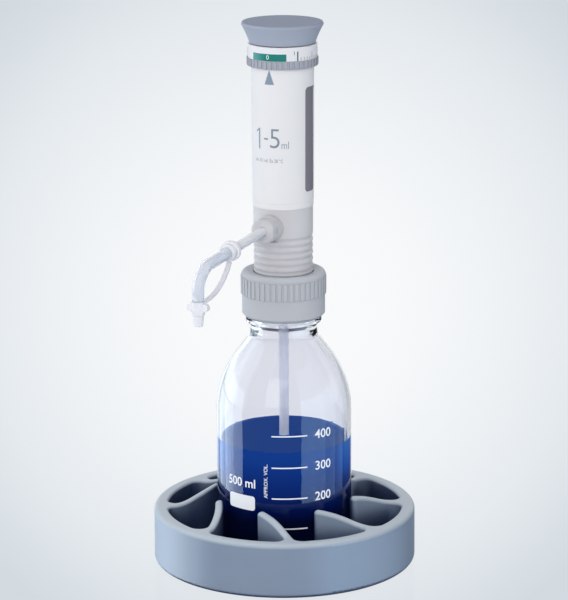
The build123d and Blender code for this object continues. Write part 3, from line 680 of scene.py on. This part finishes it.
# ------------------------------------------------------------------ sleeve
# White sleeve with a smoked window each side.  Its front has the arrow that the
# scale is read against and the range; the rest of the face is bare.
sleeve_finish = moulded("sleeve_white", srgb(232, 231, 233), 0.35, 0.0005, 0.000006, 0.01, shine=0.06)
dress("outer_sleeve", sleeve_finish)


def smoked_window():
    """Smoked pane with painted highlights along its two upright edges."""
    material, nodes, links, output = new_material("window_smoked")
    place = nodes.new("ShaderNodeTexCoord")
    split = nodes.new("ShaderNodeSeparateXYZ")
    links.new(place.outputs["Object"], split.inputs[0])
    across = nodes.new("ShaderNodeMapRange")
    across.inputs["From Min"].default_value = -window_half
    across.inputs["From Max"].default_value = window_half
    links.new(split.outputs["Y"], across.inputs["Value"])
    # Painted highlights: the pane is lighter along both upright edges.
    tones = (
        (0.0, (152, 151, 160)), (0.12, (134, 132, 142)), (0.85, (129, 127, 136)), (1.0, (150, 148, 155)),
    )
    tone = tone_ramp(nodes, tones, soft=False)
    links.new(across.outputs[0], tone.inputs[0])
    shader = nodes.new("ShaderNodeBsdfPrincipled")
    shader.inputs["Roughness"].default_value = 0.22
    shader.inputs["Specular IOR Level"].default_value = 0.0
    links.new(tone.outputs[0], shader.inputs["Base Color"])
    links.new(shader.outputs[0], output.inputs["Surface"])
    return material


window_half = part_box("window_right")[1][1]
window_finish = smoked_window()
dress("window_right", window_finish)
dress("window_left", window_finish)

sleeve_low, sleeve_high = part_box("outer_sleeve")
sleeve_top_z = sleeve_high[2]
print_lift = 0.00005
print_grey = enamel("print_grey", srgb(134, 148, 163), 0.45)
sleeve_foot_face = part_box("valve_block")[1][0] + 0.00045
sleeve_top_face = sleeve_high[0]
sleeve_foot_z = sleeve_low[2]


def sleeve_face(height):
    """Radius just outside the tapered sleeve at a height."""
    share = (height - sleeve_foot_z) / (sleeve_top_z - sleeve_foot_z)
    return sleeve_foot_face + (sleeve_top_face - sleeve_foot_face) * share + print_lift


range_turns = (-22.6, -7.5, 10.2, 29.2)
arrow_height = 0.0092
arrow_width = 0.0064
arrow_top_gap = 0.0004
bpy.ops.mesh.primitive_circle_add(vertices=3, radius=1, fill_type="NGON", location=(0, 0, 0))
arrow = bpy.context.object
bpy.ops.object.mode_set(mode="EDIT")
bpy.ops.mesh.select_all(action="SELECT")
arrow_scale = (arrow_width / math.sqrt(3), arrow_height / 1.5, 1)
bpy.ops.transform.resize(value=arrow_scale, center_override=(0, 0, 0))
bpy.ops.mesh.subdivide(number_cuts=3)
bpy.ops.object.mode_set(mode="OBJECT")
arrow_middle_z = sleeve_top_z - arrow_top_gap - arrow_height * 2 / 3
wrap(arrow, sleeve_face(sleeve_top_z) + print_lift, 0, arrow_middle_z)
own(arrow, "sleeve_arrow", enamel("print_arrow", srgb(140, 156, 174), 0.45), "dispenser")
digit_height = 0.0128
digit_middle_z = 0.2760
dash_middle_z = 0.2762
unit_middle_z = 0.2724
range_face = sleeve_face(0.283)
flag = turned_flat(field(0.0036, 0.0008), 38)
range_mark = joined([
    wrap(flag, range_face, range_turns[0] - 3.6, digit_middle_z + digit_height * 0.42),
    wrap(field(0.0011, digit_height), range_face, range_turns[0], digit_middle_z),
    wrap(field(0.0030, 0.0009), range_face, range_turns[1], dash_middle_z),
    wrap(narrowed(lettering("5", digit_height, -0.00016), 0.94), range_face, range_turns[2], digit_middle_z),
    wrap(narrowed(lettering("ml", 0.0050, -0.00005), 0.76), range_face, range_turns[3], unit_middle_z),
])
own(range_mark, "sleeve_range_mark", print_grey, "dispenser")
division = narrowed(lettering("div. 0.1 ml  Ex 20 °C", 0.0022), 0.78)
wrap(division, sleeve_face(0.264), -4, 0.2625)
own(division, "sleeve_division_mark", print_grey, "dispenser")


# ------------------------------------------------------------------ setting ring
# Grey grip ring and white scale ring.  The scale starts with a green field for
# zero, then counts from 1 to 5 ml round the ring.
grip_finish = moulded("grip_grey", srgb(168, 171, 182), 0.45, 0.0004, 0.00001, shine=0.12)
# Painted shade darkens the grooves between the grip's ribs.
hollow(grip_finish, 0.0015, srgb(112, 116, 130), srgb(168, 171, 182), 0.8)
dress("grip_ring", grip_finish)
dress("scale_ring", moulded("scale_white", srgb(232, 231, 235), 0.35, 0.0005, 0.000006, 0.01, shine=0.06))
scale_low, scale_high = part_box("scale_ring")
scale_face = scale_high[0] + print_lift
scale_foot_z = scale_low[2]
print_green = enamel("print_green", srgb(8, 132, 122), 0.4)
print_dark = enamel("print_dark", srgb(70, 96, 100), 0.45)
zero_field_height = 0.0044
zero_field_arc = 62.4
zero_field = field(math.radians(zero_field_arc) * scale_face, zero_field_height)
bpy.ops.object.mode_set(mode="EDIT")
bpy.ops.mesh.select_all(action="SELECT")
bpy.ops.mesh.subdivide(number_cuts=3)
bpy.ops.object.mode_set(mode="OBJECT")
wrap(zero_field, scale_face, 0, scale_foot_z + 0.0002 + zero_field_height / 2)
own(zero_field, "scale_zero_field", print_green, "setting")
own(wrap(lettering("0", 0.0028), scale_face + print_lift, 0, scale_foot_z + 0.0024), "scale_zero",
    enamel_white, "setting")
first_volume_turn = 50.5
volume_turn = 62.0
ticks, numbers = [], []
for tenth in range(41):
    turn = first_volume_turn + tenth * volume_turn / 10
    if tenth % 10 == 0:
        width, height = 0.0009, 0.0058
        number = lettering(str(1 + tenth // 10), 0.0026)
        numbers.append(wrap(number, scale_face, turn - 6, scale_foot_z + 0.0050))
    else:
        width, height = (0.0003, 0.0048) if tenth % 5 == 0 else (0.00028, 0.0022)
    ticks.append(wrap(field(width, height), scale_face, turn, scale_foot_z + 0.0002 + height / 2))
own(joined(ticks), "scale_ticks", print_dark, "setting")
own(joined(numbers), "scale_numbers", print_dark, "setting")


# ------------------------------------------------------------------ operating knob
# Flared blue-grey knob with a flat top, painted darker where it faces up and in its hollows as painted
# shade.  It rises with the piston when a dose is drawn.
knob_finish = moulded("knob_blue_grey", srgb(166, 173, 190), 0.5, 0.0005, 0.00001, edge=0.0004, shine=0.1)
# Painted shade: darker in the hollows, and darker on the faces turned up.
hollow(knob_finish, 0.004, srgb(70, 78, 96), srgb(148, 156, 176))
dress("operating_knob", knob_finish)
